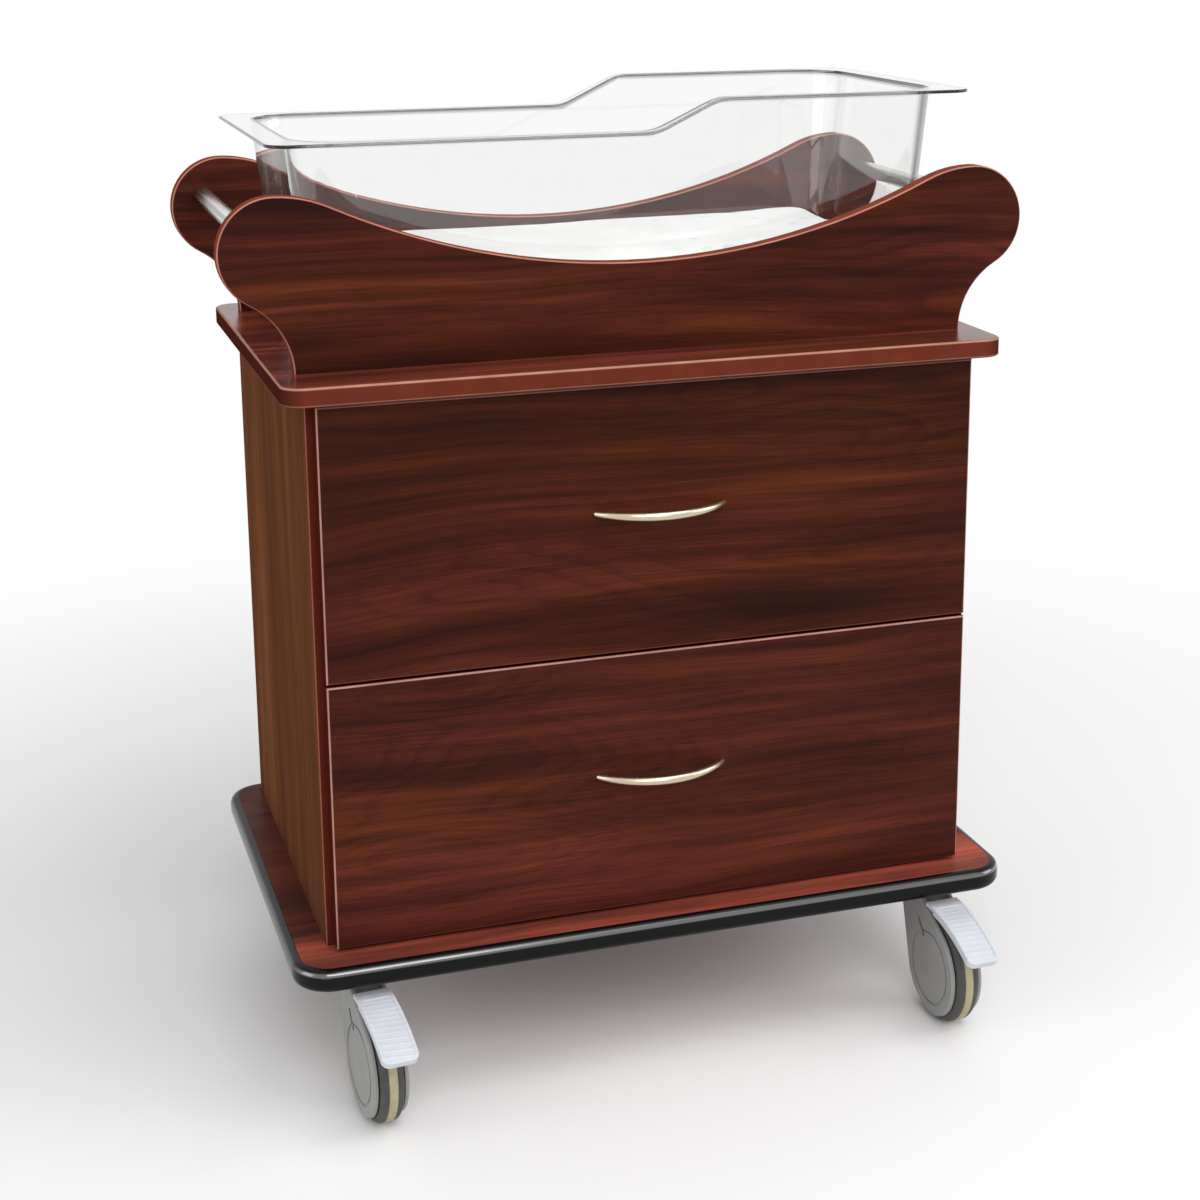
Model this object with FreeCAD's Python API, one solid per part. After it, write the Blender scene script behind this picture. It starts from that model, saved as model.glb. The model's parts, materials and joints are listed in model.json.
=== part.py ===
"""Hospital bassinet: two-drawer cabinet on casters, with a cradle on top that holds a clear tub.

Millimetres, +Z up, the front with the drawers faces -Y. Everything is first laid out about
the middle of the base board, and save() then moves it so that the origin lies on the floor
under the middle of the overall outline.
"""
import FreeCAD, Part
import math
import os

V = FreeCAD.Vector
Y_AXIS, Z_AXIS = V(0, 1, 0), V(0, 0, 1)

# ---------------------------------------------------------------- driving dimensions
base_width, base_depth, base_thickness = 806.0, 526.0, 25.0
base_corner = 40.0
bumper_thickness = 9.0
bumper_barb_depth, bumper_barb_thickness = 9.0, 3.0

caster_height = 150.0            # floor to the underside of the base board
cabinet_width, cabinet_depth, cabinet_height = 726.0, 446.5, 584.0
board = 18.0                     # carcass boards
back_thickness = 8.0
rail_width = 80.0
drawer_face_y = -224.0           # front faces of the drawer fronts
cabinet_front_y = drawer_face_y + 20.5

slab_width, slab_depth, slab_thickness = 776.0, 500.0, 20.0
slab_front_y = drawer_face_y - 13.0
slab_corner = 22.0

front_width, front_height, front_gap = 710.0, 287.0, 3.0
drawer_box_height, drawer_box_depth = 220.0, 430.0
drawer_board, drawer_bottom = 14.0, 5.0
slide_space = 12.7               # room for a slide at each side of a drawer
slide_length = 400.0
board_edge_radius = 1.5          # banded edges of the carcass boards
front_edge_radius = 2.2          # banded edges of the drawer fronts
slab_edge_radius = 2.5

handle_half, handle_foot_x = 69.5, 64.0
handle_bow = 31.0                # how far the middle of the bar stands out
handle_end_radius, handle_middle_radius = 3.6, 4.9
handle_above_middle = 10.0
handle_screw_radius, handle_screw_reach, handle_screw_head = 2.0, 7.0, (4.0, 2.5)

panel_thickness = 19.0           # scrolled cradle panels
panel_front_y = drawer_face_y + 54.5
panel_rear_y = drawer_face_y + 427.5
panel_foot_half = 365.0          # half width where a panel stands on the slab
lobe_x, lobe_z, lobe_radius = 379.0, 121.0, 57.0
dip_z, dip_radius = 94.0, 765.0
bar_x, bar_z, bar_radius = 402.0, 137.0, 9.5
bar_seat = 8.0                   # how deep a bar sits in each panel
bar_wall = 1.5
panel_edge_radius = 2.0

tub_y = drawer_face_y + 247.0
tub_rim_half_x, tub_rim_half_y = 381.0, 183.0
tub_foot_rim, tub_head_rim = 226.0, 259.0
tub_step_x = (20.0, 90.0)        # where the rim climbs from foot height to head height
tub_floor_half_x, tub_floor_half_y = 331.0, 146.0
tub_taper = 0.1                  # outward lean of the walls, mm per mm
tub_wall = 3.5
tub_floor_corner = 40.0
tub_rim_corner, tub_rim_edge = 24.0, 1.4
tub_step_radius = 55.0           # the rim flows into the step, with no sharp bend
tub_floor_edge = 12.0

mattress_half_x, mattress_half_y, mattress_thickness = 325.0, 139.0, 84.0
mattress_corner, mattress_low_edge, mattress_high_edge = 36.0, 11.0, 14.0
mattress_gap = 0.3               # above the tub's floor

wheel_radius, tyre_width = 62.5, 26.0
tyre_inner_radius = 46.0
caster_x, caster_y = 328.0, 209.0
caster_trail = 45.0
hood_half_width, hood_cheek, hood_edge_radius = 19.0, 4.5, 2.5
hood_disc_radius, hood_neck_radius, hood_neck_z = 55.0, 27.0, 118.0
hood_top_z = 141.0
hood_channel_start = 18.5        # the pedal's channel between the cheeks, from the swivel axis
cheek_ring_inner, cheek_ring_outer, cheek_ring_depth = 40.0, 43.0, 1.2
cheek_slot_upper, cheek_slot_lower, cheek_slot_radius = (16.0, 109.0), (27.0, 96.0), 3.6

# places on a pedal: distance from the swivel axis towards the wheel, and height
pedal_pivot = (24.0, 126.0)
pedal_root, pedal_tip = (34.0, 137.5), (141.0, 111.0)   # ends of its arched top face
pedal_arch = 8.0                 # rise of that face over the straight line
pedal_plate, pedal_half_width = 4.5, 19.5
pedal_skirt_start, pedal_skirt_depth, pedal_skirt_wall = 18.0, 8.0, 3.0
pedal_corner, pedal_edge_radius = 9.0, 1.5
pedal_tread_depth, pedal_tread_border = 0.8, 4.0

axle_radius, swivel_pin_radius, pedal_pin_radius = 4.0, 6.0, 2.5
pin_end_gap = 1.3                # from an axle's or pedal pin's end to the cheek's outer face
running = 0.05                   # radial clearance of a turning fit
seat_gap = 0.2                   # tub above the slab, hood under its plate

# caster headings, degrees from straight ahead (-Y) towards +X
caster_headings = {"front_left": 5.0, "front_right": 1.0, "rear_left": -3.0, "rear_right": 4.0}

# ---------------------------------------------------------------- levels worked out from them
base_top = caster_height + base_thickness
cabinet_top = base_top + cabinet_height
deck = cabinet_top + slab_thickness
drawer_zs = {"lower": base_top + 4.0, "upper": base_top + 4.0 + front_height + front_gap}
origin_shift = (caster_y + pedal_tip[0] - base_depth / 2) / 2

os.makedirs("parts", exist_ok=True)


# ---------------------------------------------------------------- helpers
def save(name, shapes):
    """Move one node from the base-board frame to the row frame and write it."""
    shapes = shapes if isinstance(shapes, list) else [shapes]
    shape = Part.makeCompound(shapes) if len(shapes) > 1 else shapes[0]
    shape = shape.copy()
    shape.translate(V(0, origin_shift, 0))
    shape.exportStep("parts/" + name + ".step")


def box(x0, x1, y0, y1, z0, z1):
    return Part.makeBox(x1 - x0, y1 - y0, z1 - z0, V(x0, y0, z0))


def cylinder(radius, start, end):
    start, end = V(*start), V(*end)
    return Part.makeCylinder(radius, (end - start).Length, start, end - start)


def rounded_wire(half_x, half_y, radius, z, centre_y=0.0):
    """Rounded rectangle in a level plane."""
    edges = []
    corners = ((1, 1, 0), (-1, 1, 90), (-1, -1, 180), (1, -1, 270))
    ends = []
    for sx, sy, start in corners:
        cx, cy = sx * (half_x - radius), centre_y + sy * (half_y - radius)
        points = []
        for angle in (start, start + 45, start + 90):
            a = math.radians(angle)
            points.append(V(cx + radius * math.cos(a), cy + radius * math.sin(a), z))
        ends.append(points)
    for i, (first, middle, last) in enumerate(ends):
        edges.append(Part.Arc(first, middle, last).toShape())
        edges.append(Part.makeLine(last, ends[(i + 1) % 4][0]))
    return Part.Wire(edges)


def rounded_plate(half_x, half_y, radius, z0, z1, centre_y=0.0):
    face = Part.Face(rounded_wire(half_x, half_y, radius, z0, centre_y))
    return face.extrude(V(0, 0, z1 - z0))


def soften(shape, radius, wanted):
    """Round the edges that wanted() picks."""
    edges = [edge for edge in shape.Edges if wanted(edge.BoundBox)]
    return shape.makeFillet(radius, edges)


def level_at(*heights):
    """Pick edges that lie in one of the level planes."""
    def wanted(bounds):
        flat = bounds.ZLength < 0.01
        return flat and any(abs(bounds.ZMin - height) < 0.01 for height in heights)
    return wanted


def facing_at(*depths):
    """Pick edges that lie in one of the planes across the depth."""
    def wanted(bounds):
        return bounds.YLength < 0.01 and any(abs(bounds.YMin - depth) < 0.01 for depth in depths)
    return wanted


def screw(head, tip, shank_radius, head_size):
    """Pan-head screw: the head's underside is at head, the shank runs to tip."""
    head, tip = V(*head), V(*tip)
    head_radius, head_height = head_size
    back = (head - tip).normalize()
    crown = head + back * head_height
    shank = cylinder(shank_radius, tuple(head), tuple(tip))
    cap = Part.makeCone(head_radius, head_radius * 0.7, head_height, head, back)
    socket = cylinder(head_radius * 0.3, tuple(crown), tuple(crown - back * head_height * 0.6))
    return shank.fuse(cap).cut(socket).removeSplitter()


# ---------------------------------------------------------------- base board and bumper
side_screw_xs = [s * (cabinet_width / 2 - board / 2) for s in (-1, 1)]
side_screw_ys = [cabinet_front_y + cabinet_depth * part for part in (0.12, 0.5, 0.88)]
base_screw_radius, base_screw_reach, base_screw_head = 2.5, 45.0, (5.0, 4.0)
counterbore_radius, counterbore_depth = 6.0, 5.0
bumper_flat = 0.5                # left on the nose so that its two rounds don't meet
barb_root = 0.5                  # overlap that joins the barb to the bumper


def make_base():
    core_x = base_width / 2 - bumper_thickness
    core_y = base_depth / 2 - bumper_thickness
    core_corner = base_corner - bumper_thickness
    middle = caster_height + base_thickness / 2
    board_shape = rounded_plate(core_x, core_y, core_corner, caster_height, base_top)

    # the bumper's outer skin is one full round nose
    skin = rounded_plate(base_width / 2, base_depth / 2, base_corner, caster_height, base_top)
    skin = soften(skin, bumper_thickness - bumper_flat, level_at(caster_height, base_top))
    bumper = skin.cut(board_shape)
    barb_low, barb_high = middle - bumper_barb_thickness / 2, middle + bumper_barb_thickness / 2
    barb_outer = rounded_plate(core_x + barb_root, core_y + barb_root, core_corner + barb_root,
                               barb_low, barb_high)
    barb_inner = rounded_plate(core_x - bumper_barb_depth, core_y - bumper_barb_depth,
                               core_corner - bumper_barb_depth, barb_low, barb_high)
    barb = barb_outer.cut(barb_inner)
    bumper = bumper.fuse(barb).removeSplitter()
    board_shape = board_shape.cut(barb)

    screws = []
    for x in side_screw_xs:
        for y in side_screw_ys:
            seat = caster_height + counterbore_depth
            board_shape = board_shape.cut(cylinder(counterbore_radius, (x, y, caster_height), (x, y, seat)))
            board_shape = board_shape.cut(cylinder(base_screw_radius, (x, y, seat), (x, y, base_top)))
            screws.append(screw((x, y, seat), (x, y, base_top + base_screw_reach),
                                base_screw_radius, base_screw_head))
    for x, y in caster_places().values():
        for bolt_x, bolt_y in plate_bolts(x, y):
            hole = cylinder(bolt_radius, (bolt_x, bolt_y, caster_height),
                            (bolt_x, bolt_y, caster_height + bolt_reach))
            board_shape = board_shape.cut(hole)
    save("base_board", board_shape)
    save("base_bumper", bumper)
    save("base_screws", screws)


# ---------------------------------------------------------------- cabinet carcass and slab
def make_cabinet():
    inner = cabinet_width / 2 - board
    front, back = cabinet_front_y, cabinet_front_y + cabinet_depth
    for name, sign in (("left_side_panel", -1), ("right_side_panel", 1)):
        low, high = sorted((sign * inner, sign * (inner + board)))
        panel = box(low, high, front, back, base_top, cabinet_top)
        panel = soften(panel, board_edge_radius, facing_at(front))
        for y in side_screw_ys:
            x = sign * (cabinet_width / 2 - board / 2)
            panel = panel.cut(cylinder(base_screw_radius, (x, y, base_top),
                                       (x, y, base_top + base_screw_reach)))
        save(name, panel)
    save("back_panel", box(-inner, inner, back - back_thickness, back, base_top, cabinet_top))
    inside_back = back - back_thickness
    save("bottom_panel", box(-inner, inner, front, inside_back, base_top, base_top + board))
    middle = drawer_zs["upper"] - front_gap / 2
    save("divider_rail", box(-inner, inner, front, front + rail_width,
                             middle - board / 2, middle + board / 2))

    rails = []
    rail_starts = (front, inside_back - rail_width)
    for start in rail_starts:
        rails.append(box(-inner, inner, start, start + rail_width, cabinet_top - board, cabinet_top))
    slab_back = slab_front_y + slab_depth
    slab = rounded_plate(slab_width / 2, slab_depth / 2, slab_corner, cabinet_top, deck,
                         (slab_front_y + slab_back) / 2)
    slab = soften(slab, slab_edge_radius, level_at(cabinet_top, deck))
    screws = []
    for i, y in enumerate((panel_front_y + panel_thickness / 2, panel_rear_y + panel_thickness / 2)):
        for x in panel_screw_xs:
            hole = cylinder(panel_screw_radius, (x, y, cabinet_top - board), (x, y, deck))
            rails[i] = rails[i].cut(hole)
            slab = slab.cut(hole)
            screws.append(screw((x, y, cabinet_top - board), (x, y, deck + panel_screw_reach),
                                panel_screw_radius, panel_screw_head))
    save("top_rails", rails)
    save("top_slab", slab)
    save("cradle_screws", screws)


# ---------------------------------------------------------------- cradle panels and bars
panel_screw_xs = (-300.0, -100.0, 100.0, 300.0)
panel_screw_radius, panel_screw_reach, panel_screw_head = 2.5, 40.0, (5.5, 4.0)


def cradle_outline(y):
    """Scrolled outline: neck, round lobe at each end, and one long dip between them."""
    # The neck is an arc centred at deck level that touches the lobe from outside.
    overhang = lobe_x - panel_foot_half
    neck_radius = ((overhang ** 2 + lobe_z ** 2 - lobe_radius ** 2)
                   / (2 * (lobe_radius + overhang)))
    neck_x = panel_foot_half + neck_radius
    towards_lobe = math.atan2(lobe_z, lobe_x - neck_x)
    # The shoulder arc touches the lobe at its top from inside and the dip from outside.
    dip_centre = dip_z + dip_radius
    top = lobe_z + lobe_radius
    shoulder_radius = shoulder_fit(dip_centre, top)
    shoulder_z = top - shoulder_radius
    lean = math.atan2(lobe_x, dip_centre - shoulder_z)
    dip_end = V(dip_radius * math.sin(lean), y, dip_centre - dip_radius * math.cos(lean))

    def on_circle(cx, cz, radius, angle):
        return V(cx + radius * math.cos(angle), y, cz + radius * math.sin(angle))

    foot = V(panel_foot_half, y, 0)
    neck_end = on_circle(neck_x, 0, neck_radius, towards_lobe)
    neck_mid = on_circle(neck_x, 0, neck_radius, (math.pi + towards_lobe) / 2)
    lobe_start = towards_lobe - math.pi
    lobe_mid = on_circle(lobe_x, lobe_z, lobe_radius, (lobe_start + math.pi / 2) / 2)
    lobe_top = V(lobe_x, y, top)
    shoulder_mid = on_circle(lobe_x, shoulder_z, shoulder_radius, math.pi / 2 + lean / 2)
    edges = []
    for mirror in (1, -1):
        def flip(point):
            return V(point.x * mirror, point.y, point.z + deck)
        edges.append(Part.Arc(flip(foot), flip(neck_mid), flip(neck_end)).toShape())
        edges.append(Part.Arc(flip(neck_end), flip(lobe_mid), flip(lobe_top)).toShape())
        edges.append(Part.Arc(flip(lobe_top), flip(shoulder_mid), flip(dip_end)).toShape())
    left_end = V(-dip_end.x, y, dip_end.z + deck)
    right_end = V(dip_end.x, y, dip_end.z + deck)
    edges.append(Part.Arc(left_end, V(0, y, dip_z + deck), right_end).toShape())
    edges.append(Part.makeLine(V(-panel_foot_half, y, deck), V(panel_foot_half, y, deck)))
    return Part.Wire(Part.__sortEdges__(edges))


def shoulder_fit(dip_centre, top):
    """Radius of the arc under (lobe_x, top) that touches the long dip."""
    # Distance between the centres equals the sum of the radii.
    rise = dip_centre - top
    return (lobe_x ** 2 + rise ** 2 - dip_radius ** 2) / (2 * (dip_radius - rise))


def make_cradle():
    for name, y, inner_y in (("front_cradle_panel", panel_front_y, panel_front_y + panel_thickness),
                             ("rear_cradle_panel", panel_rear_y, panel_rear_y)):
        panel = Part.Face(cradle_outline(y)).extrude(V(0, panel_thickness, 0))
        ends = facing_at(y, y + panel_thickness)
        panel = soften(panel, panel_edge_radius, lambda b: ends(b) and b.ZMax > deck + 0.01)
        inward = 1 if inner_y == y else -1
        for x in (-bar_x, bar_x):
            seat = cylinder(bar_radius, (x, inner_y, deck + bar_z),
                            (x, inner_y + inward * bar_seat, deck + bar_z))
            panel = panel.cut(seat)
        for x in panel_screw_xs:
            middle = y + panel_thickness / 2
            panel = panel.cut(cylinder(panel_screw_radius, (x, middle, deck),
                                       (x, middle, deck + panel_screw_reach)))
        save(name, panel)
    start = panel_front_y + panel_thickness - bar_seat
    end = panel_rear_y + bar_seat
    for name, x in (("left_bar", -bar_x), ("right_bar", bar_x)):
        tube = cylinder(bar_radius, (x, start, deck + bar_z), (x, end, deck + bar_z))
        hollow = cylinder(bar_radius - bar_wall, (x, start, deck + bar_z), (x, end, deck + bar_z))
        save(name, tube.cut(hollow))


# ---------------------------------------------------------------- drawer slides
slide_sheet, slide_setback = 1.2, 2.0
slide_members = {
    # half height, side where the web lies, web offset from the carcass, open side's offset
    "outer": (22.5, 0.0, 10.6),
    "middle": (19.0, 2.8, 10.0),
    "inner": (15.5, slide_space - slide_sheet, 5.6),
}


def slide_member(kind, sign, z, y0, y1):
    """C-shaped steel channel at one side of the drawer opening."""
    half, web, lip_end = slide_members[kind]
    wall = cabinet_width / 2 - board
    lo, hi = min(web, lip_end), max(web + slide_sheet, lip_end)

    def across(d0, d1, z0, z1):
        x0, x1 = sorted((sign * (wall - d0), sign * (wall - d1)))
        return box(x0, x1, y0, y1, z0, z1)

    channel = across(web, web + slide_sheet, z - half, z + half)
    for low, high in ((z - half, z - half + slide_sheet), (z + half - slide_sheet, z + half)):
        channel = channel.fuse(across(lo, hi, low, high))
    return channel.removeSplitter()


# ---------------------------------------------------------------- drawers
drawer_groove, drawer_bottom_rise = 6.0, 12.0
drawer_rim_radius = 2.0


def bow_handle(y, z):
    """Bow pull: one arched bar, thickest in the middle, whose ends come down on the drawer front."""
    arc_radius = (handle_half ** 2 + handle_bow ** 2) / (2 * handle_bow)
    centre_y = y - handle_bow + arc_radius
    reach = math.asin(handle_half / arc_radius)

    def along(angle):
        return V(arc_radius * math.sin(angle), centre_y - arc_radius * math.cos(angle), z)

    sections = []
    for share in (-1.0, -0.5, 0.0, 0.5, 1.0):
        radius = handle_middle_radius - (handle_middle_radius - handle_end_radius) * share ** 2
        tangent = V(math.cos(share * reach), math.sin(share * reach), 0)
        sections.append(Part.Wire([Part.makeCircle(radius, along(share * reach), tangent)]))
    bar = Part.makeLoft(sections, True, False)
    for end in (-reach, reach):
        bar = bar.fuse(Part.makeSphere(handle_end_radius, along(end)))
    for x in (-handle_foot_x, handle_foot_x):
        foot_y = centre_y - math.sqrt(arc_radius ** 2 - x ** 2)
        bar = bar.fuse(cylinder(handle_end_radius, (x, y, z), (x, foot_y, z)))
    bar = bar.cut(box(-2 * handle_half, 2 * handle_half, y, y + handle_bow, z - handle_bow, z + handle_bow))
    for x in (-handle_foot_x, handle_foot_x):
        bar = bar.cut(cylinder(handle_screw_radius, (x, y, z), (x, y - handle_screw_reach, z)))
    return bar.removeSplitter()


def make_drawer(name, z0):
    face, rear = drawer_face_y, drawer_face_y + board
    z1 = z0 + front_height
    middle = (z0 + z1) / 2
    handle_z = middle + handle_above_middle
    front = box(-front_width / 2, front_width / 2, face, rear, z0, z1)
    front = soften(front, front_edge_radius, facing_at(face))
    screws = []
    for x in (-handle_foot_x, handle_foot_x):
        front = front.cut(cylinder(handle_screw_radius, (x, face, handle_z), (x, rear, handle_z)))
        screws.append(screw((x, rear, handle_z), (x, face - handle_screw_reach, handle_z),
                            handle_screw_radius, handle_screw_head))
    save(name + "_drawer_front", front)
    save(name + "_drawer_handle", bow_handle(face, handle_z))
    save(name + "_handle_screws", screws)

    half = cabinet_width / 2 - board - slide_space
    low = middle - drawer_box_height / 2
    high = middle + drawer_box_height / 2
    end = rear + drawer_box_depth
    floor_half = half - drawer_board + drawer_groove
    floor_z = low + drawer_bottom_rise
    floor = box(-floor_half, floor_half, rear, end - drawer_board + drawer_groove,
                floor_z, floor_z + drawer_bottom)
    for side, sign in (("left", -1), ("right", 1)):
        x0, x1 = sorted((sign * half, sign * (half - drawer_board)))
        wall = box(x0, x1, rear, end, low, high)
        wall = soften(wall, drawer_rim_radius, level_at(high)).cut(floor)
        save(name + "_drawer_" + side, wall)
    back = box(-half + drawer_board, half - drawer_board, end - drawer_board, end, low, high)
    save(name + "_drawer_back", back.cut(floor))
    save(name + "_drawer_bottom", floor)

    slide_y0 = cabinet_front_y + slide_setback
    for kind in slide_members:
        members = [slide_member(kind, s, middle, slide_y0, slide_y0 + slide_length) for s in (-1, 1)]
        save(name + "_slide_" + kind, members)


# ---------------------------------------------------------------- tub and mattress
tub_margin = 20.0                # how far the shapes that trim the tub run past it


def tub_hull(inset, z0, z1):
    """Tapered tub body between two heights above its floor, drawn in by inset."""
    wires = []
    for z in (z0, z1):
        grow = tub_taper * z - inset
        wires.append(rounded_wire(tub_floor_half_x + grow, tub_floor_half_y + grow,
                                  tub_floor_corner + grow, deck + seat_gap + z, tub_y))
    return Part.makeLoft(wires, True, True)


def rim_profile(drop, z_low):
    """Side view under the rim line, lowered by drop and closed at z_low."""
    far = tub_rim_half_x + tub_margin
    low, high = deck + tub_foot_rim - drop, deck + tub_head_rim - drop
    start, stop = tub_step_x
    y = tub_y - tub_rim_half_y - tub_margin
    points = [V(-far, y, z_low), V(-far, y, low), V(start, y, low),
              V(stop, y, high), V(far, y, high), V(far, y, z_low), V(-far, y, z_low)]
    prism = Part.Face(Part.makePolygon(points)).extrude(V(0, 2 * (tub_rim_half_y + tub_margin), 0))

    def at_step(bounds):
        return bounds.XLength < 0.01 and bounds.ZLength < 0.01 and abs(bounds.XMin) < tub_rim_half_x
    return soften(prism, tub_step_radius, at_step)


def on_rim_outline(edge):
    """Whether an edge of the flange runs along its outer outline."""
    if edge.BoundBox.XLength + edge.BoundBox.YLength < 0.01:
        return False
    for share in (0.0, 0.5, 1.0):
        point = edge.valueAt(edge.FirstParameter + share * (edge.LastParameter - edge.FirstParameter))
        past_x = abs(point.x) - (tub_rim_half_x - tub_rim_corner)
        past_y = abs(point.y - tub_y) - (tub_rim_half_y - tub_rim_corner)
        outward = math.hypot(max(past_x, 0), max(past_y, 0)) + min(max(past_x, past_y), 0)
        if abs(outward - tub_rim_corner) > 0.05:
            return False
    return True


def make_tub():
    below = deck - tub_margin
    above = tub_head_rim + tub_margin
    outer = tub_hull(0.0, 0.0, above)
    outer = soften(outer, tub_floor_edge, level_at(deck + seat_gap))
    inner = tub_hull(tub_wall, tub_wall, above)
    inner = soften(inner, tub_floor_edge - tub_wall, level_at(deck + seat_gap + tub_wall))
    walls = outer.cut(inner).common(rim_profile(0.0, below))
    flange = rounded_plate(tub_rim_half_x, tub_rim_half_y, tub_rim_corner,
                           deck + tub_foot_rim - tub_margin, deck + above, tub_y)
    flange = flange.common(rim_profile(0.0, below)).cut(rim_profile(tub_wall, below)).removeSplitter()
    flange = flange.makeFillet(tub_rim_edge, [edge for edge in flange.Edges if on_rim_outline(edge)])
    save("tub", walls.fuse(flange.cut(inner)).removeSplitter())

    low = deck + seat_gap + tub_wall + mattress_gap
    pad = rounded_plate(mattress_half_x, mattress_half_y, mattress_corner,
                        low, low + mattress_thickness, tub_y)
    pad = soften(pad, mattress_low_edge, level_at(low))
    save("mattress", soften(pad, mattress_high_edge, level_at(low + mattress_thickness)))


# ---------------------------------------------------------------- casters
plate_half_x, plate_half_y, plate_corner, plate_thickness = 45.0, 35.0, 8.0, 3.0
bolt_x, bolt_y, bolt_radius, bolt_reach, bolt_head = 34.0, 24.0, 3.0, 18.0, (5.0, 3.0)
boss_radius = 21.0
swivel_pin_length = 23.0         # in the hood
pin_hole_end = 1.0               # left past the end of a pin in its blind hole
cut_past = 1.0                   # how far a cutting shape runs past a face
well_clearance = 3.5             # round the tyre, inside the hood
tongue_gap = 0.4                 # beside the pedal's tongue, to each cheek
tongue_pivot_radius, tongue_root_radius = 3.6, 2.2
hub_radius, hub_step, web_half = 12.0, 13.0, 3.0
rim_inner_radius, rim_step_radius, rim_inset = 38.0, 39.5, 1.0
tyre_shoulder, tyre_band_half, tyre_band_height = 7.0, 4.0, 0.6


def caster_places():
    places = {}
    for name in caster_headings:
        x = caster_x if name.endswith("right") else -caster_x
        y = caster_y if name.startswith("rear") else -caster_y
        places[name] = (x, y)
    return places


def plate_bolts(x, y):
    return [(x + sx * bolt_x, y + sy * bolt_y) for sx in (-1, 1) for sy in (-1, 1)]


def caster_mount(x, y):
    """Top plate with a boss and the swivel pin."""
    low = caster_height - plate_thickness
    plate = rounded_plate(plate_half_x, plate_half_y, plate_corner, low, caster_height)
    boss = cylinder(boss_radius, (0, 0, hood_top_z + seat_gap), (0, 0, low))
    pin = cylinder(swivel_pin_radius, (0, 0, hood_top_z - swivel_pin_length), (0, 0, low))
    mount = plate.fuse(boss).fuse(pin).removeSplitter()
    for px, py in plate_bolts(0, 0):
        mount = mount.cut(cylinder(bolt_radius, (px, py, low), (px, py, caster_height)))
    mount.translate(V(x, y, 0))
    return mount


def tangent_hull(cx0, cz0, r0, cx1, cz1, r1, y):
    """Outline round two circles in an XZ plane, with straight tangents."""
    direction = math.atan2(cz1 - cz0, cx1 - cx0)
    spread = math.acos((r0 - r1) / math.hypot(cx1 - cx0, cz1 - cz0))

    def at(cx, cz, r, angle):
        return V(cx + r * math.cos(angle), y, cz + r * math.sin(angle))

    up, down = direction + spread, direction - spread
    first = Part.Arc(at(cx0, cz0, r0, up), at(cx0, cz0, r0, direction + math.pi),
                     at(cx0, cz0, r0, down)).toShape()
    second = Part.Arc(at(cx1, cz1, r1, down), at(cx1, cz1, r1, direction),
                      at(cx1, cz1, r1, up)).toShape()
    sides = [Part.makeLine(at(cx0, cz0, r0, a), at(cx1, cz1, r1, a)) for a in (up, down)]
    return Part.Wire(Part.__sortEdges__([first, sides[1], second, sides[0]]))


def across(radius, u, z, half_width):
    """Cylinder across the caster at trail distance u."""
    return cylinder(radius, (u, -half_width, z), (u, half_width, z))


def blind_across(radius, place):
    """Cylinder across the caster that stops inside the cheeks' outer faces."""
    return across(radius, *place, hood_half_width - pin_hole_end)


def caster_hood():
    """Forked hood: two cheeks beside the wheel and a block round the swivel pin."""
    outline = tangent_hull(0, hood_neck_z, hood_neck_radius, caster_trail, wheel_radius,
                           hood_disc_radius, -hood_half_width)
    hood = Part.Face(outline).extrude(V(0, 2 * hood_half_width, 0))
    hood = soften(hood, hood_edge_radius, facing_at(-hood_half_width, hood_half_width))
    far = caster_trail + 2 * wheel_radius
    wide = 2 * hood_half_width
    hood = hood.cut(box(-far, far, -wide, wide, hood_top_z, hood_top_z + wide))
    well = hood_half_width - hood_cheek
    hood = hood.cut(across(wheel_radius + well_clearance, caster_trail, wheel_radius, well))
    hood = hood.cut(box(hood_channel_start, far, -well, well, wheel_radius, hood_top_z + wide))
    for sign in (-1, 1):
        hood = hood.cut(cheek_ring(sign)).cut(cheek_slot(sign, well))
    pin_low = hood_top_z - swivel_pin_length - pin_hole_end
    hood = hood.cut(cylinder(swivel_pin_radius + running, (0, 0, pin_low), (0, 0, hood_top_z)))
    hood = hood.cut(blind_across(axle_radius, (caster_trail, wheel_radius)))
    hood = hood.cut(blind_across(pedal_pin_radius + running, pedal_pivot))
    return hood.removeSplitter()


def cheek_ring(sign):
    """Ring groove in the outside of one cheek."""
    bottom = sign * (hood_half_width - cheek_ring_depth)
    top = sign * (hood_half_width + cut_past)
    outer = cylinder(cheek_ring_outer, (caster_trail, bottom, wheel_radius),
                     (caster_trail, top, wheel_radius))
    return outer.cut(across(cheek_ring_inner, caster_trail, wheel_radius, 2 * hood_half_width))


def cheek_slot(sign, well):
    """Slanted linkage slot through one cheek."""
    near, far = sorted((sign * (well - cut_past), sign * (hood_half_width + cut_past)))
    outline = tangent_hull(*cheek_slot_upper, cheek_slot_radius, *cheek_slot_lower, cheek_slot_radius, near)
    return Part.Face(outline).extrude(V(0, far - near, 0))


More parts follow.
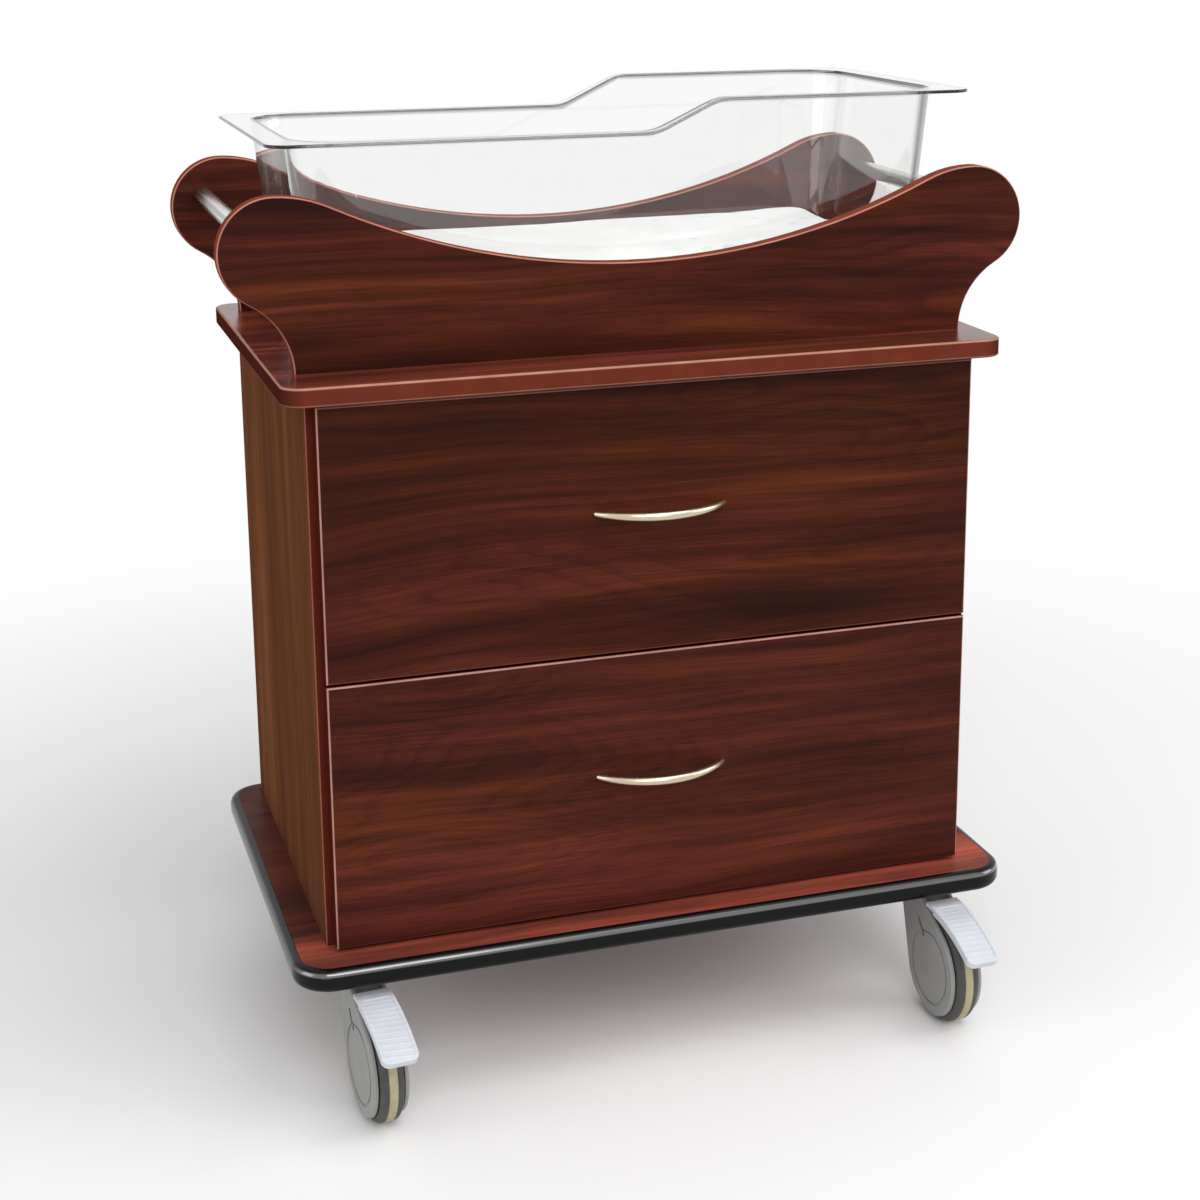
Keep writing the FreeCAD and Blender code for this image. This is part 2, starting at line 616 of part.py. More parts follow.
def caster_pedal():
    """Arched brake pedal, raised off the wheel, with a skirt, a sunk tread and a tongue to its pivot."""
    root, tip = V(pedal_root[0], 0, pedal_root[1]), V(pedal_tip[0], 0, pedal_tip[1])
    chord = tip - root
    radius = ((chord.Length / 2) ** 2 + pedal_arch ** 2) / (2 * pedal_arch)
    upward = V(-chord.z, 0, chord.x).normalize()
    centre = (root + tip) * 0.5 - upward * (radius - pedal_arch)
    spread = 2 * math.asin(chord.Length / (2 * radius))
    first = math.atan2(root.x - centre.x, root.z - centre.z)

    def band(start, end, depth_out, depth_in, half_width):
        """Part of the arch between two distances from the root and two depths under its top face."""
        def at(distance, depth):
            angle = first + distance / radius
            reach = radius - depth
            return V(centre.x + reach * math.sin(angle), -half_width, centre.z + reach * math.cos(angle))
        middle = (start + end) / 2
        edges = [Part.Arc(at(start, depth_out), at(middle, depth_out), at(end, depth_out)).toShape(),
                 Part.makeLine(at(end, depth_out), at(end, depth_in)),
                 Part.Arc(at(end, depth_in), at(middle, depth_in), at(start, depth_in)).toShape(),
                 Part.makeLine(at(start, depth_in), at(start, depth_out))]
        return Part.Face(Part.Wire(edges)).extrude(V(0, 2 * half_width, 0))

    def round_corners(shape, corner, near):
        """Round the upright corners that lie past a distance from the swivel axis."""
        return soften(shape, corner, lambda b: b.YLength < 0.01 and b.XLength < corner and b.XMin > near)

    length = radius * spread
    skirt_end = length - pedal_skirt_wall
    inner_half = pedal_half_width - pedal_skirt_wall
    tread_half = pedal_half_width - pedal_tread_border
    body = band(0.0, length, 0.0, pedal_plate, pedal_half_width)
    body = body.fuse(band(pedal_skirt_start, length, 0.0, pedal_skirt_depth, pedal_half_width))
    body = round_corners(body.removeSplitter(), pedal_corner, tip.x - 2 * pedal_skirt_depth)
    body = body.makeFillet(pedal_edge_radius, [e for e in body.Edges if on_arch(e, centre, radius, root.x)])
    hollow = band(pedal_skirt_start - 2 * cut_past, skirt_end, pedal_plate,
                  pedal_skirt_depth + cut_past, inner_half)
    body = body.cut(round_corners(hollow, pedal_corner - pedal_skirt_wall, tip.x - 2 * pedal_skirt_depth))
    tread = band(pedal_skirt_start, length - pedal_tread_border, -cut_past, pedal_tread_depth, tread_half)
    body = body.cut(round_corners(tread, pedal_corner - pedal_tread_border, 0.0))
    tongue_half = hood_half_width - hood_cheek - tongue_gap
    tongue_outline = tangent_hull(*pedal_pivot, tongue_pivot_radius, root.x + tongue_root_radius,
                                  root.z - tongue_root_radius, tongue_root_radius, -tongue_half)
    tongue = Part.Face(tongue_outline).extrude(V(0, 2 * tongue_half, 0))
    pin = across(pedal_pin_radius, *pedal_pivot, hood_half_width - pin_end_gap)
    return body.fuse(tongue).fuse(pin).removeSplitter()


def on_arch(edge, centre, radius, root_x):
    """Whether an edge of the pedal bounds its top face, away from the root."""
    for share in (0.0, 0.5, 1.0):
        point = edge.valueAt(edge.FirstParameter + share * (edge.LastParameter - edge.FirstParameter))
        if abs(math.hypot(point.x - centre.x, point.z - centre.z) - radius) > 0.02:
            return False
    return edge.BoundBox.XMax > root_x + 1.0


def revolve_across(points):
    """Closed (radius, offset) profile turned round the wheel's axle."""
    wire = Part.makePolygon([V(caster_trail, y, wheel_radius + r) for r, y in points + points[:1]])
    return Part.Face(wire).revolve(V(caster_trail, 0, wheel_radius), Y_AXIS, 360)


def caster_wheel():
    """Wheel centre: rim, web and hub in one moulding."""
    rim, hub = tyre_width / 2 - rim_inset, tyre_width / 2
    bore = axle_radius + running
    upper = [(bore, hub), (hub_radius, hub), (hub_step, web_half), (rim_inner_radius, web_half),
             (rim_step_radius, rim), (tyre_inner_radius, rim)]
    lower = [(r, -y) for r, y in reversed(upper)]
    return revolve_across(upper + lower)


def caster_tyre():
    """Tyre with round shoulders and a slightly proud centre band."""
    half = tyre_width / 2
    tread_radius = wheel_radius - tyre_band_height
    ring = across(tread_radius, caster_trail, wheel_radius, half)
    ring = soften(ring, tyre_shoulder, lambda b: b.XLength > wheel_radius and b.YLength < 0.01)
    crown = across(wheel_radius, caster_trail, wheel_radius, tyre_band_half)
    bore = across(tyre_inner_radius, caster_trail, wheel_radius, half + cut_past)
    return ring.fuse(crown).cut(bore).removeSplitter()


def make_casters():
    hood, pedal, wheel, tyre = caster_hood(), caster_pedal(), caster_wheel(), caster_tyre()
    axle = across(axle_radius, caster_trail, wheel_radius, hood_half_width - pin_end_gap)
    mounts, bolts = [], []
    for name, (x, y) in caster_places().items():
        turn = caster_headings[name] - 90.0
        for piece, shape in (("hood", hood), ("pedal", pedal), ("wheel", wheel), ("tyre", tyre),
                             ("axle", axle)):
            placed = shape.copy()
            placed.rotate(V(0, 0, 0), Z_AXIS, turn)
            placed.translate(V(x, y, 0))
            save(name + "_" + piece, placed)
        mounts.append(caster_mount(x, y))
        low = caster_height - plate_thickness
        for px, py in plate_bolts(x, y):
            bolts.append(screw((px, py, low), (px, py, caster_height + bolt_reach),
                               bolt_radius, bolt_head))
    save("caster_mounts", mounts)
    save("caster_bolts", bolts)


make_base()
make_cabinet()
make_cradle()
for drawer, height in drawer_zs.items():
    make_drawer(drawer, height)
make_tub()
make_casters()
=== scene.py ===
import bmesh
import bpy
import json
import math
from mathutils import Matrix, Vector


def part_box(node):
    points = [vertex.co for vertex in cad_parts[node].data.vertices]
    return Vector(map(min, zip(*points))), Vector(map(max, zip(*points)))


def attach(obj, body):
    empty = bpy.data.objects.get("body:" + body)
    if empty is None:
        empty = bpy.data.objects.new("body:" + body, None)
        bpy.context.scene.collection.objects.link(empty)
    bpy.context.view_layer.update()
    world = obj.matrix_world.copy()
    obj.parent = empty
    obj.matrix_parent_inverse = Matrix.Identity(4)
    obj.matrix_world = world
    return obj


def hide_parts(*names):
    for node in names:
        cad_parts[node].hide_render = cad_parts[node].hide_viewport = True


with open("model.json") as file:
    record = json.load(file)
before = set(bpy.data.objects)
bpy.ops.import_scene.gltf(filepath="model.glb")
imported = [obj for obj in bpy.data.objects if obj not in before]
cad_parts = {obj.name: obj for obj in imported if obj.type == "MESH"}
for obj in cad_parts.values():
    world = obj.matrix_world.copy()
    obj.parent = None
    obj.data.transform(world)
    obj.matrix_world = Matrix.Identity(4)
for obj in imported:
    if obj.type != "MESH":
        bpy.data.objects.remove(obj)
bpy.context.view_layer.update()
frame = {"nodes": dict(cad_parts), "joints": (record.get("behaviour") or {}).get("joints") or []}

nodes = frame["nodes"]

# the tub's sizes in part.py, in metres
tub_step_x = (0.02, 0.09)               # where the rim climbs from the foot end to the head end
tub_rims = (0.2258, 0.2588)             # height of the rim over the tub's underside at each end
tub_floor_half = (0.331, 0.146)
tub_floor_corner, tub_rim_corner = 0.040, 0.024
tub_wall, tub_taper = 0.0035, 0.1


# ---------------------------------------------------------------- node helpers
def srgb(red, green, blue):
    """Linear colour of an 8-bit display colour."""
    linear = []
    for value in (red, green, blue):
        share = value / 255
        linear.append(share / 12.92 if share <= 0.04045 else ((share + 0.055) / 1.055) ** 2.4)
    return (*linear, 1.0)


def scaled(colour, share):
    """A colour made darker, or brighter past 1."""
    return tuple(part * share for part in colour[:3]) + (1.0,)


def mix_shaders(tree, factor, first, second, target):
    """Join two shaders by a factor and link them to the output's socket."""
    mixer = tree.nodes.new("ShaderNodeMixShader")
    for source, socket in zip((factor, first, second), mixer.inputs):
        tree.links.new(source, socket)
    tree.links.new(mixer.outputs[0], target)


class Tree:
    """A material's nodes, with a short call for each kind that the finishes use."""

    def __init__(self, name):
        self.material = bpy.data.materials.new(name)
        self.material.use_nodes = True
        self.tree = self.material.node_tree
        self.tree.nodes.clear()
        self.shader = self.tree.nodes.new("ShaderNodeBsdfPrincipled")
        self.output = self.tree.nodes.new("ShaderNodeOutputMaterial")
        self.link(self.shader.outputs["BSDF"], self.output.inputs["Surface"])

    def link(self, source, target):
        self.tree.links.new(source, target)

    def put(self, value, socket):
        if isinstance(value, bpy.types.NodeSocket):
            self.link(value, socket)
        else:
            socket.default_value = value

    def set(self, **values):
        """Set the shader's sockets by name, with _ for a space."""
        for name, value in values.items():
            self.put(value, self.shader.inputs[name.replace("_", " ")])

    def math(self, operation, first, second=0.5, clamp=False):
        node = self.tree.nodes.new("ShaderNodeMath")
        node.operation = operation
        node.use_clamp = clamp
        self.put(first, node.inputs[0])
        self.put(second, node.inputs[1])
        return node.outputs[0]

    def add(self, *values):
        total = values[0]
        for value in values[1:]:
            total = self.math("ADD", total, value)
        return total

    def less(self, first, second):
        return self.math("SUBTRACT", first, second)

    def times(self, first, second):
        return self.math("MULTIPLY", first, second)

    def swing(self, value, amount):
        """Turn noise, 0 to 1, into a change either way: half the amount at most."""
        return self.times(self.less(value, 0.5), amount)

    def place(self):
        """Object coordinates, whole and split: they are the row frame's metres."""
        coordinates = self.tree.nodes.new("ShaderNodeTexCoord")
        split = self.tree.nodes.new("ShaderNodeSeparateXYZ")
        self.link(coordinates.outputs["Object"], split.inputs[0])
        return coordinates.outputs["Object"], dict(zip("xyz", split.outputs))

    def slope(self, axis):
        """The surface's normal along one axis, -1 to 1."""
        coordinates = self.tree.nodes.new("ShaderNodeTexCoord")
        split = self.tree.nodes.new("ShaderNodeSeparateXYZ")
        self.link(coordinates.outputs["Normal"], split.inputs[0])
        return dict(zip("xyz", split.outputs))[axis]

    def facing(self, axis):
        """How squarely the surface faces along one axis, 0 to 1."""
        return self.math("ABSOLUTE", self.slope(axis))

    def vector(self, x, y, z):
        node = self.tree.nodes.new("ShaderNodeCombineXYZ")
        for value, socket in zip((x, y, z), node.inputs):
            self.put(value, socket)
        return node.outputs[0]

    def noise(self, where, scale, detail=3.0, roughness=0.5):
        node = self.tree.nodes.new("ShaderNodeTexNoise")
        self.put(where, node.inputs["Vector"])
        node.inputs["Scale"].default_value = scale
        node.inputs["Detail"].default_value = detail
        node.inputs["Roughness"].default_value = roughness
        return node.outputs["Fac"]

    def spots(self, where, scale, randomness):
        """Distance from scattered points, and a colour for each point."""
        node = self.tree.nodes.new("ShaderNodeTexVoronoi")
        self.put(where, node.inputs["Vector"])
        node.inputs["Scale"].default_value = scale
        node.inputs["Randomness"].default_value = randomness
        return node.outputs["Distance"], node.outputs["Color"]

    def ramp(self, factor, stops, interpolation="LINEAR"):
        node = self.tree.nodes.new("ShaderNodeValToRGB")
        node.color_ramp.interpolation = interpolation
        elements = node.color_ramp.elements
        while len(elements) < len(stops):
            elements.new(0.5)
        for element, (position, colour) in zip(elements, stops):
            element.position = position
            element.color = colour if hasattr(colour, "__len__") else (colour, colour, colour, 1.0)
        self.put(factor, node.inputs[0])
        return node.outputs["Color"]

    def remap(self, value, low, high, to_low, to_high):
        """Map a range to another, and hold the result at its ends."""
        node = self.tree.nodes.new("ShaderNodeMapRange")
        for number, socket in zip((low, high, to_low, to_high), list(node.inputs)[1:5]):
            socket.default_value = number
        self.put(value, node.inputs[0])
        return node.outputs[0]

    def mix(self, factor, first, second, blend="MIX"):
        node = self.tree.nodes.new("ShaderNodeMix")
        node.data_type = "RGBA"
        node.blend_type = blend
        self.put(factor, node.inputs[0])
        self.put(first, node.inputs[6])
        self.put(second, node.inputs[7])
        return node.outputs[2]

    def bump(self, height, distance, strength=1.0):
        node = self.tree.nodes.new("ShaderNodeBump")
        node.inputs["Distance"].default_value = distance
        node.inputs["Strength"].default_value = strength
        self.put(height, node.inputs["Height"])
        self.link(node.outputs[0], self.shader.inputs["Normal"])


# ---------------------------------------------------------------- wood laminate
ORANGE_BROWN = [(0.0, srgb(47, 22, 13)), (0.22, srgb(59, 27, 16)), (0.45, srgb(75, 35, 20)),
                (0.68, srgb(92, 43, 24)), (0.86, srgb(109, 52, 28)), (1.0, srgb(122, 61, 34))]
BURGUNDY = [(0.0, srgb(46, 20, 15)), (0.22, srgb(58, 25, 19)), (0.45, srgb(73, 32, 24)),
            (0.68, srgb(89, 39, 29)), (0.86, srgb(104, 46, 34)), (1.0, srgb(116, 55, 41))]
WALNUT_AND_SHEEN = [(0.0, srgb(50, 28, 18)), (0.22, srgb(58, 34, 22)), (0.45, srgb(68, 41, 26)),
          (0.68, srgb(80, 49, 30)), (0.86, srgb(92, 58, 34)), (1.0, srgb(104, 68, 40))]
# SHADED_BOARD and PAINTED_END_SHADE are painted shade: the back of the base board and the slab's end faces
PORE, SHADED_BOARD, PAINTED_END_SHADE = srgb(28, 11, 8), srgb(34, 20, 17), srgb(36, 20, 16)
BAND_EDGE = srgb(96, 40, 29)         # plain plastic band on the boards' edges
BAND_CORNER_HIGHLIGHT = srgb(178, 112, 94)     # painted highlight on its rounded corners, lighter than the band
VEIL_TINT = (1.0, 0.74, 0.66, 1.0)   # colour of what the laminate reflects


class Grain:
    """Coordinates that follow a board's grain, moved by a seed so that no two boards match."""

    def __init__(self, t, along, across, seed):
        _, self.axes = t.place()
        self.t = t
        self.through = next(axis for axis in "xyz" if axis not in (along, across))
        self.u = t.add(self.axes[along], seed * 3.7)
        self.v = t.add(self.axes[across], seed * 1.9)
        self.w = t.add(self.axes[self.through], seed * 5.3)

    def layer(self, rate_along, rate_across, sideways, detail, roughness=0.5, shift=0.0):
        """Noise drawn out along the grain, with its rates in features per metre."""
        t = self.t
        where = t.vector(t.add(t.times(self.u, rate_along), shift), t.times(sideways, rate_across),
                         t.times(self.w, rate_across))
        return t.noise(where, 1.0, detail, roughness)

    def even(self, rate):
        """Noise that is the same size in every direction."""
        t = self.t
        where = t.vector(t.times(self.u, rate), t.times(self.v, rate), t.times(self.w, rate))
        return t.noise(where, 1.0, 3.0)


def printed_wood(grain, red, brighten, cathedral, contrast, palettes, dark_from):
    """Clouds, streaks, flame figure, fibres and pores: the colour, the streaks and the relief."""
    t = grain.t
    side = t.add(grain.v, t.swing(grain.layer(1.3, 3.6, grain.v, 2.0), 0.085),
                 t.swing(grain.layer(6.0, 22.0, grain.v, 2.0), 0.007))
    cloud = grain.layer(1.0, 4.5, side, 2.0)
    broad = grain.layer(1.5, 21.0, side, 2.0, 0.55, 4.0)
    streak = grain.layer(3.0, 78.0, side, 3.0, 0.6, 9.0)
    fibre = grain.layer(8.0, 380.0, side, 3.0, 0.65, 2.0)
    tone = t.add(0.47, t.swing(cloud, contrast), t.swing(broad, 1.5 * contrast),
                 t.swing(streak, 0.95 * contrast), t.swing(fibre, 0.42))
    # flame figure: rings that are darkest at their late wood, in patches only
    flame = grain.layer(2.6, 10.0, side, 1.0, 0.4, 6.0)
    ring = t.math("FRACT", t.times(flame, 17.0))
    late = t.ramp(ring, [(0.0, 0.1), (0.45, 0.0), (0.8, 0.75), (0.92, 1.0), (1.0, 0.1)])
    patch = t.remap(grain.layer(1.2, 4.2, grain.v, 1.0, 0.5, 13.0), 0.50, 0.64, 0.0, cathedral)
    tone = t.less(tone, t.times(t.times(patch, late), 0.27))
    # colour drifts between two palettes, and goes dark towards the back where the board is shaded
    drift = grain.layer(0.8, 5.5, side, 2.0, 0.5, 21.0)
    hue = t.math("ADD", t.remap(drift, 0.38, 0.62, red - 0.5, red + 0.5), 0.0, clamp=True)
    warm, cool = [t.ramp(tone, [(place, scaled(colour, brighten)) for place, colour in stops])
                  for stops in palettes]
    colour = t.mix(hue, warm, cool)
    if dark_from:
        colour = t.mix(t.remap(grain.axes["y"], *dark_from, 0.0, 0.72), colour, SHADED_BOARD)
    between_pores = t.ramp(grain.layer(16.0, 1000.0, side, 2.0, 0.6, 1.0),
                           [(0.0, 0.0), (0.35, 0.0), (0.45, 1.0), (1.0, 1.0)])
    colour = t.mix(t.remap(between_pores, 0.0, 1.0, 0.38, 0.0), colour, PORE)
    return colour, streak, t.add(t.times(between_pores, 0.5), t.times(fibre, 0.4))


def edge_bands(grain, flat, colour, edge, corner, highlight_share, end_shade):
    """Plain band where the surface turns away from the board's face, with a painted highlight on the
    rounded lip between, made patchy by a mottle.
    """
    t = grain.t
    rim = t.ramp(flat, [(0.0, 1.0), (0.7, 1.0), (0.965, 0.0), (1.0, 0.0)])
    mottle = grain.even(30.0)
    band = t.ramp(mottle, [(0.3, scaled(edge, 0.85)), (0.7, edge)])
    # painted shade on the board's end faces, those that face along x
    if end_shade:
        band = t.mix(t.times(t.facing("x"), end_shade), band, PAINTED_END_SHADE)
    colour = t.mix(rim, colour, band)
    # painted highlight along the rounded lip between the face and the band
    highlight_lip = t.ramp(flat, [(0.0, 0.0), (0.15, 0.45), (0.35, 1.0), (0.9, 0.9), (0.985, 0.0), (1.0, 0.0)])
    highlight_lip = t.times(highlight_lip, t.remap(t.slope("z"), -0.5, -0.1, 0.1, 1.0))      # painted highlight, hardly any underneath
    highlight_strength = t.remap(mottle, 0.3, 0.7, highlight_share * 0.7, highlight_share)
    return t.mix(t.times(highlight_lip, highlight_strength), colour, corner)


def wood(name, along, across, seed, red=0.5, brighten=1.0, cathedral=1.0, contrast=1.0,
         palettes=(ORANGE_BROWN, BURGUNDY), dark_from=None, shine=0.08, gloss=(0.36, 0.46),
         edge=BAND_EDGE, corner=BAND_CORNER_HIGHLIGHT, highlight_share=0.7, end_shade=0.0):
    """Wood laminate on a board's faces, shiny there only, and plain bands on its edges."""
    t = Tree(name)
    grain = Grain(t, along, across, seed)
    flat = t.facing(grain.through)
    colour, streak, relief = printed_wood(grain, red, brighten, cathedral, contrast, palettes, dark_from)
    t.set(Base_Color=edge_bands(grain, flat, colour, edge, corner, highlight_share, end_shade),
          Roughness=t.remap(streak, 0.3, 0.7, *gloss),
          Specular_IOR_Level=t.remap(flat, 0.9, 0.99, 0.0, shine), Specular_Tint=VEIL_TINT)
    t.bump(relief, 0.00008)
    return t.material


# ---------------------------------------------------------------- the other finishes
# painted reflections: dark and bright lines that run along a polished tube, from its underside to its top
TUBE_REFLECTION_BANDS = [(0.0, 0.3), (0.45, 0.22), (0.56, 0.9), (0.66, 0.5), (0.8, 0.38), (0.9, 1.0), (1.0, 0.9)]


def board_white(name):
    """Pale melamine-faced board inside the drawers."""
    t = Tree(name)
    where, _ = t.place()
    fleck = t.noise(where, 700.0, 2.0)
    cloud = t.noise(where, 9.0, 3.0)
    t.set(Base_Color=t.ramp(cloud, [(0.3, srgb(214, 205, 190)), (0.7, srgb(224, 217, 204))]),
          Roughness=t.remap(fleck, 0.3, 0.7, 0.42, 0.55))
    t.bump(fleck, 0.00008)
    return t.material


def glossy_black(name):
    """Black bumper, dull underneath and polished along its upper shoulder."""
    t = Tree(name)
    where, _ = t.place()
    ripple = t.noise(where, 24.0, 2.0)
    scuff = t.noise(where, 180.0, 4.0, 0.7)
    rounded = t.ramp(t.slope("z"), [(0.0, 0.0), (0.15, 0.0), (0.3, 1.0),
                                    (0.55, 1.0), (0.75, 0.0), (1.0, 0.0)])
    shoulder = t.times(rounded, t.remap(t.facing("y"), 0.1, 0.5, 0.12, 1.0))
    t.set(Base_Color=t.ramp(scuff, [(0.35, srgb(5, 5, 6)), (0.75, srgb(14, 14, 15))]),
          Roughness=t.remap(scuff, 0.3, 0.75, 0.12, 0.2),
          Specular_IOR_Level=t.remap(shoulder, 0.0, 1.0, 0.16, 0.9),
          Coat_Weight=shoulder, Coat_IOR=1.9, Coat_Roughness=0.12)
    t.bump(ripple, 0.0003, 0.5)
    return t.material


def metal(name, colour, roughness, stretch, brush=0.00004, reflection_bands=None):
    """Brushed or polished metal with fine lines: stretch gives the rate along x, y and z."""
    t = Tree(name)
    _, axes = t.place()
    where = t.vector(*[t.times(axes[axis], rate) for axis, rate in zip("xyz", stretch)])
    lines = t.noise(where, 1.0, 4.0, 0.6)
    shade = t.ramp(lines, [(0.3, scaled(colour, 0.9)), (0.7, colour)])
    # painted reflections: bands set by the normal's height darken the colour round the tube
    if reflection_bands:
        shade = t.mix(1.0, shade, t.ramp(t.remap(t.slope("z"), -1.0, 1.0, 0.0, 1.0), reflection_bands), "MULTIPLY")
    t.set(Base_Color=shade, Metallic=1.0,
          Roughness=t.remap(lines, 0.3, 0.7, roughness * 0.8, roughness * 1.25))
    t.bump(lines, brush, 0.6)
    return t.material


def rounded_distance(t, axes, centre, half_x, half_y, corner):
    """Signed distance from a rounded rectangle seen from above; its sizes may be sockets."""
    past_x = t.less(t.math("ABSOLUTE", t.less(axes["x"], centre.x)), t.less(half_x, corner))
    past_y = t.less(t.math("ABSOLUTE", t.less(axes["y"], centre.y)), t.less(half_y, corner))
    out_x, out_y = t.math("MAXIMUM", past_x, 0.0), t.math("MAXIMUM", past_y, 0.0)
    out = t.math("SQRT", t.add(t.times(out_x, out_x), t.times(out_y, out_y)))
    inward = t.math("MINIMUM", t.math("MAXIMUM", past_x, past_y), 0.0)
    return t.less(t.add(out, inward), corner)


def painted_sheet_lines(t, axes):
    """Where lines are painted for the light that runs along the tub's sheet: the rim's outer edge, and its
    bend into the walls.
    """
    low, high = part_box("tub")
    centre, half = (low + high) / 2, (high - low) / 2
    outside = rounded_distance(t, axes, centre, half.x, half.y, tub_rim_corner)
    painted_rim_line = t.remap(outside, -0.0034, -0.0022, 0.0, 1.0)
    grown = t.times(t.less(axes["z"], low.z), tub_taper)
    inner_sizes = [t.add(grown, size - tub_wall) for size in (*tub_floor_half, tub_floor_corner)]
    inside = rounded_distance(t, axes, centre, *inner_sizes)
    rim_z = t.remap(axes["x"], *tub_step_x, *(low.z + height for height in tub_rims))
    near_rim = t.remap(t.less(rim_z, axes["z"]), 0.004, 0.007, 1.0, 0.0)
    painted_bend_line = t.times(t.remap(t.math("ABSOLUTE", inside), 0.0009, 0.0022, 1.0, 0.0), near_rim)
    return painted_rim_line, painted_bend_line


def clear_plastic(name):
    """Clear moulded tub, with painted blue-grey and grey lines along its rim and painted shade down its
    upright corners where the view grazes them.
    """
    t = Tree(name)
    where, axes = t.place()
    painted_rim_line, painted_bend_line = painted_sheet_lines(t, axes)
    # painted shade: the upright corners turn darker where the view grazes them
    upright = t.remap(t.math("MINIMUM", t.facing("x"), t.facing("y")), 0.04, 0.2, 0.0, 1.0)
    grazing = t.tree.nodes.new("ShaderNodeLayerWeight")
    corner = t.times(t.remap(grazing.outputs["Facing"], 0.38, 0.6, 0.0, 0.95), upright)
    haze = t.noise(where, 60.0, 3.0)
    colour = t.ramp(haze, [(0.3, (0.975, 0.975, 0.97, 1.0)), (0.7, (0.985, 0.985, 0.98, 1.0))])
    # painted lines for the light in the sheet: blue-grey at the rim's outer edge, grey at its bend into the
    # walls
    colour = t.mix(t.times(painted_rim_line, 0.9), colour, srgb(188, 192, 212))
    colour = t.mix(corner, colour, srgb(106, 101, 112))
    t.set(Base_Color=t.mix(painted_bend_line, colour, srgb(148, 148, 147)), Transmission_Weight=1.0, IOR=1.49,
          Roughness=t.remap(haze, 0.3, 0.8, 0.0, 0.02))
    t.bump(t.noise(where, 6.0, 2.0), 0.0004, 0.25)
    absorb = t.tree.nodes.new("ShaderNodeVolumeAbsorption")
    absorb.inputs["Color"].default_value = (0.64, 0.66, 0.66, 1.0)
    absorb.inputs["Density"].default_value = 30.0
    t.link(absorb.outputs[0], t.output.inputs["Volume"])
    # light passes the tub as through thin glass, so what lies in it isn't in its shadow
    path = t.tree.nodes.new("ShaderNodeLightPath")
    thin = t.tree.nodes.new("ShaderNodeBsdfTransparent")
    thin.inputs["Color"].default_value = (0.93, 0.94, 0.95, 1.0)
    mix_shaders(t.tree, path.outputs["Is Shadow Ray"], t.shader.outputs[0], thin.outputs[0],
                t.output.inputs["Surface"])
    return t.material


def moulded(name, colour, roughness, grain=900.0, depth=0.00006, rib_pitch=None):
    """Injection-moulded plastic with a fine spark-eroded grain and, on a pedal, grip ribs."""
    t = Tree(name)
    where, axes = t.place()
    pit = t.noise(where, grain, 2.0)
    cloud = t.noise(where, 26.0, 3.0)
    t.set(Base_Color=t.ramp(cloud, [(0.3, scaled(colour, 0.86)), (0.7, colour)]),
          Roughness=t.remap(pit, 0.3, 0.7, roughness - 0.05, roughness + 0.07))
    if rib_pitch:
        wave = t.math("SINE", t.times(axes["y"], 2 * math.pi / rib_pitch))
        ribs = t.times(t.remap(wave, 0.2, 1.0, 0.0, 1.0), t.facing("z"))
        t.bump(t.add(t.times(pit, 0.15), ribs), 0.0004, 0.6)
    else:
        t.bump(pit, depth)
    return t.material


def cotton(name, print_start):
    """Woven white cotton with a very faint pastel dot print towards the head end."""
    t = Tree(name)
    where, axes = t.place()
    thread = 2400.0
    weave = t.times(t.math("SINE", t.times(axes["x"], thread)), t.math("SINE", t.times(axes["y"], thread)))
    soft = t.noise(where, 14.0, 4.0)
    slub = t.noise(where, 260.0, 3.0)
    white = t.ramp(soft, [(0.3, srgb(236, 236, 234)), (0.7, srgb(246, 246, 244))])
    distance, random_colour = t.spots(where, 34.0, 0.75)
    dot = t.ramp(distance, [(0.0, 1.0), (0.26, 1.0), (0.32, 0.0), (1.0, 0.0)])
    split = t.tree.nodes.new("ShaderNodeSeparateColor")
    t.link(random_colour, split.inputs[0])
    pastel = t.ramp(split.outputs[0], [(0.0, srgb(178, 212, 234)), (0.34, srgb(196, 228, 200)),
                                       (0.67, srgb(244, 232, 176))], "CONSTANT")
    printed = t.remap(axes["x"], print_start, print_start + 0.05, 0.0, 0.5)
    t.set(Base_Color=t.mix(t.math("MULTIPLY", dot, printed, clamp=True), white, pastel),
          Roughness=t.remap(slub, 0.3, 0.7, 0.82, 0.95), Sheen_Weight=0.25, Sheen_Roughness=0.5)
    t.bump(t.add(t.times(weave, 0.25), slub), 0.00022)
    return t.material


def two_tone_tyre(name, centre, axle):
    """Dark tread with a beige centre band: the band is found from the distance along the axle."""
    t = Tree(name)
    where, axes = t.place()
    parts = [t.times(t.less(axes[axis], start), share) for axis, start, share in zip("xyz", centre, axle)]
    offset = t.math("ABSOLUTE", t.add(*parts))
    dust = t.noise(where, 90.0, 4.0)
    tread = t.ramp(dust, [(0.3, srgb(58, 56, 54)), (0.75, srgb(82, 79, 76))])
    band = t.ramp(dust, [(0.3, srgb(170, 160, 124)), (0.75, srgb(190, 181, 148))])
    in_band = t.remap(offset, 0.0044, 0.0049, 1.0, 0.0)
    t.set(Base_Color=t.mix(in_band, tread, band), Roughness=t.remap(dust, 0.3, 0.8, 0.5, 0.72))
    t.bump(t.noise(where, 1200.0, 2.0), 0.0001)
    return t.material


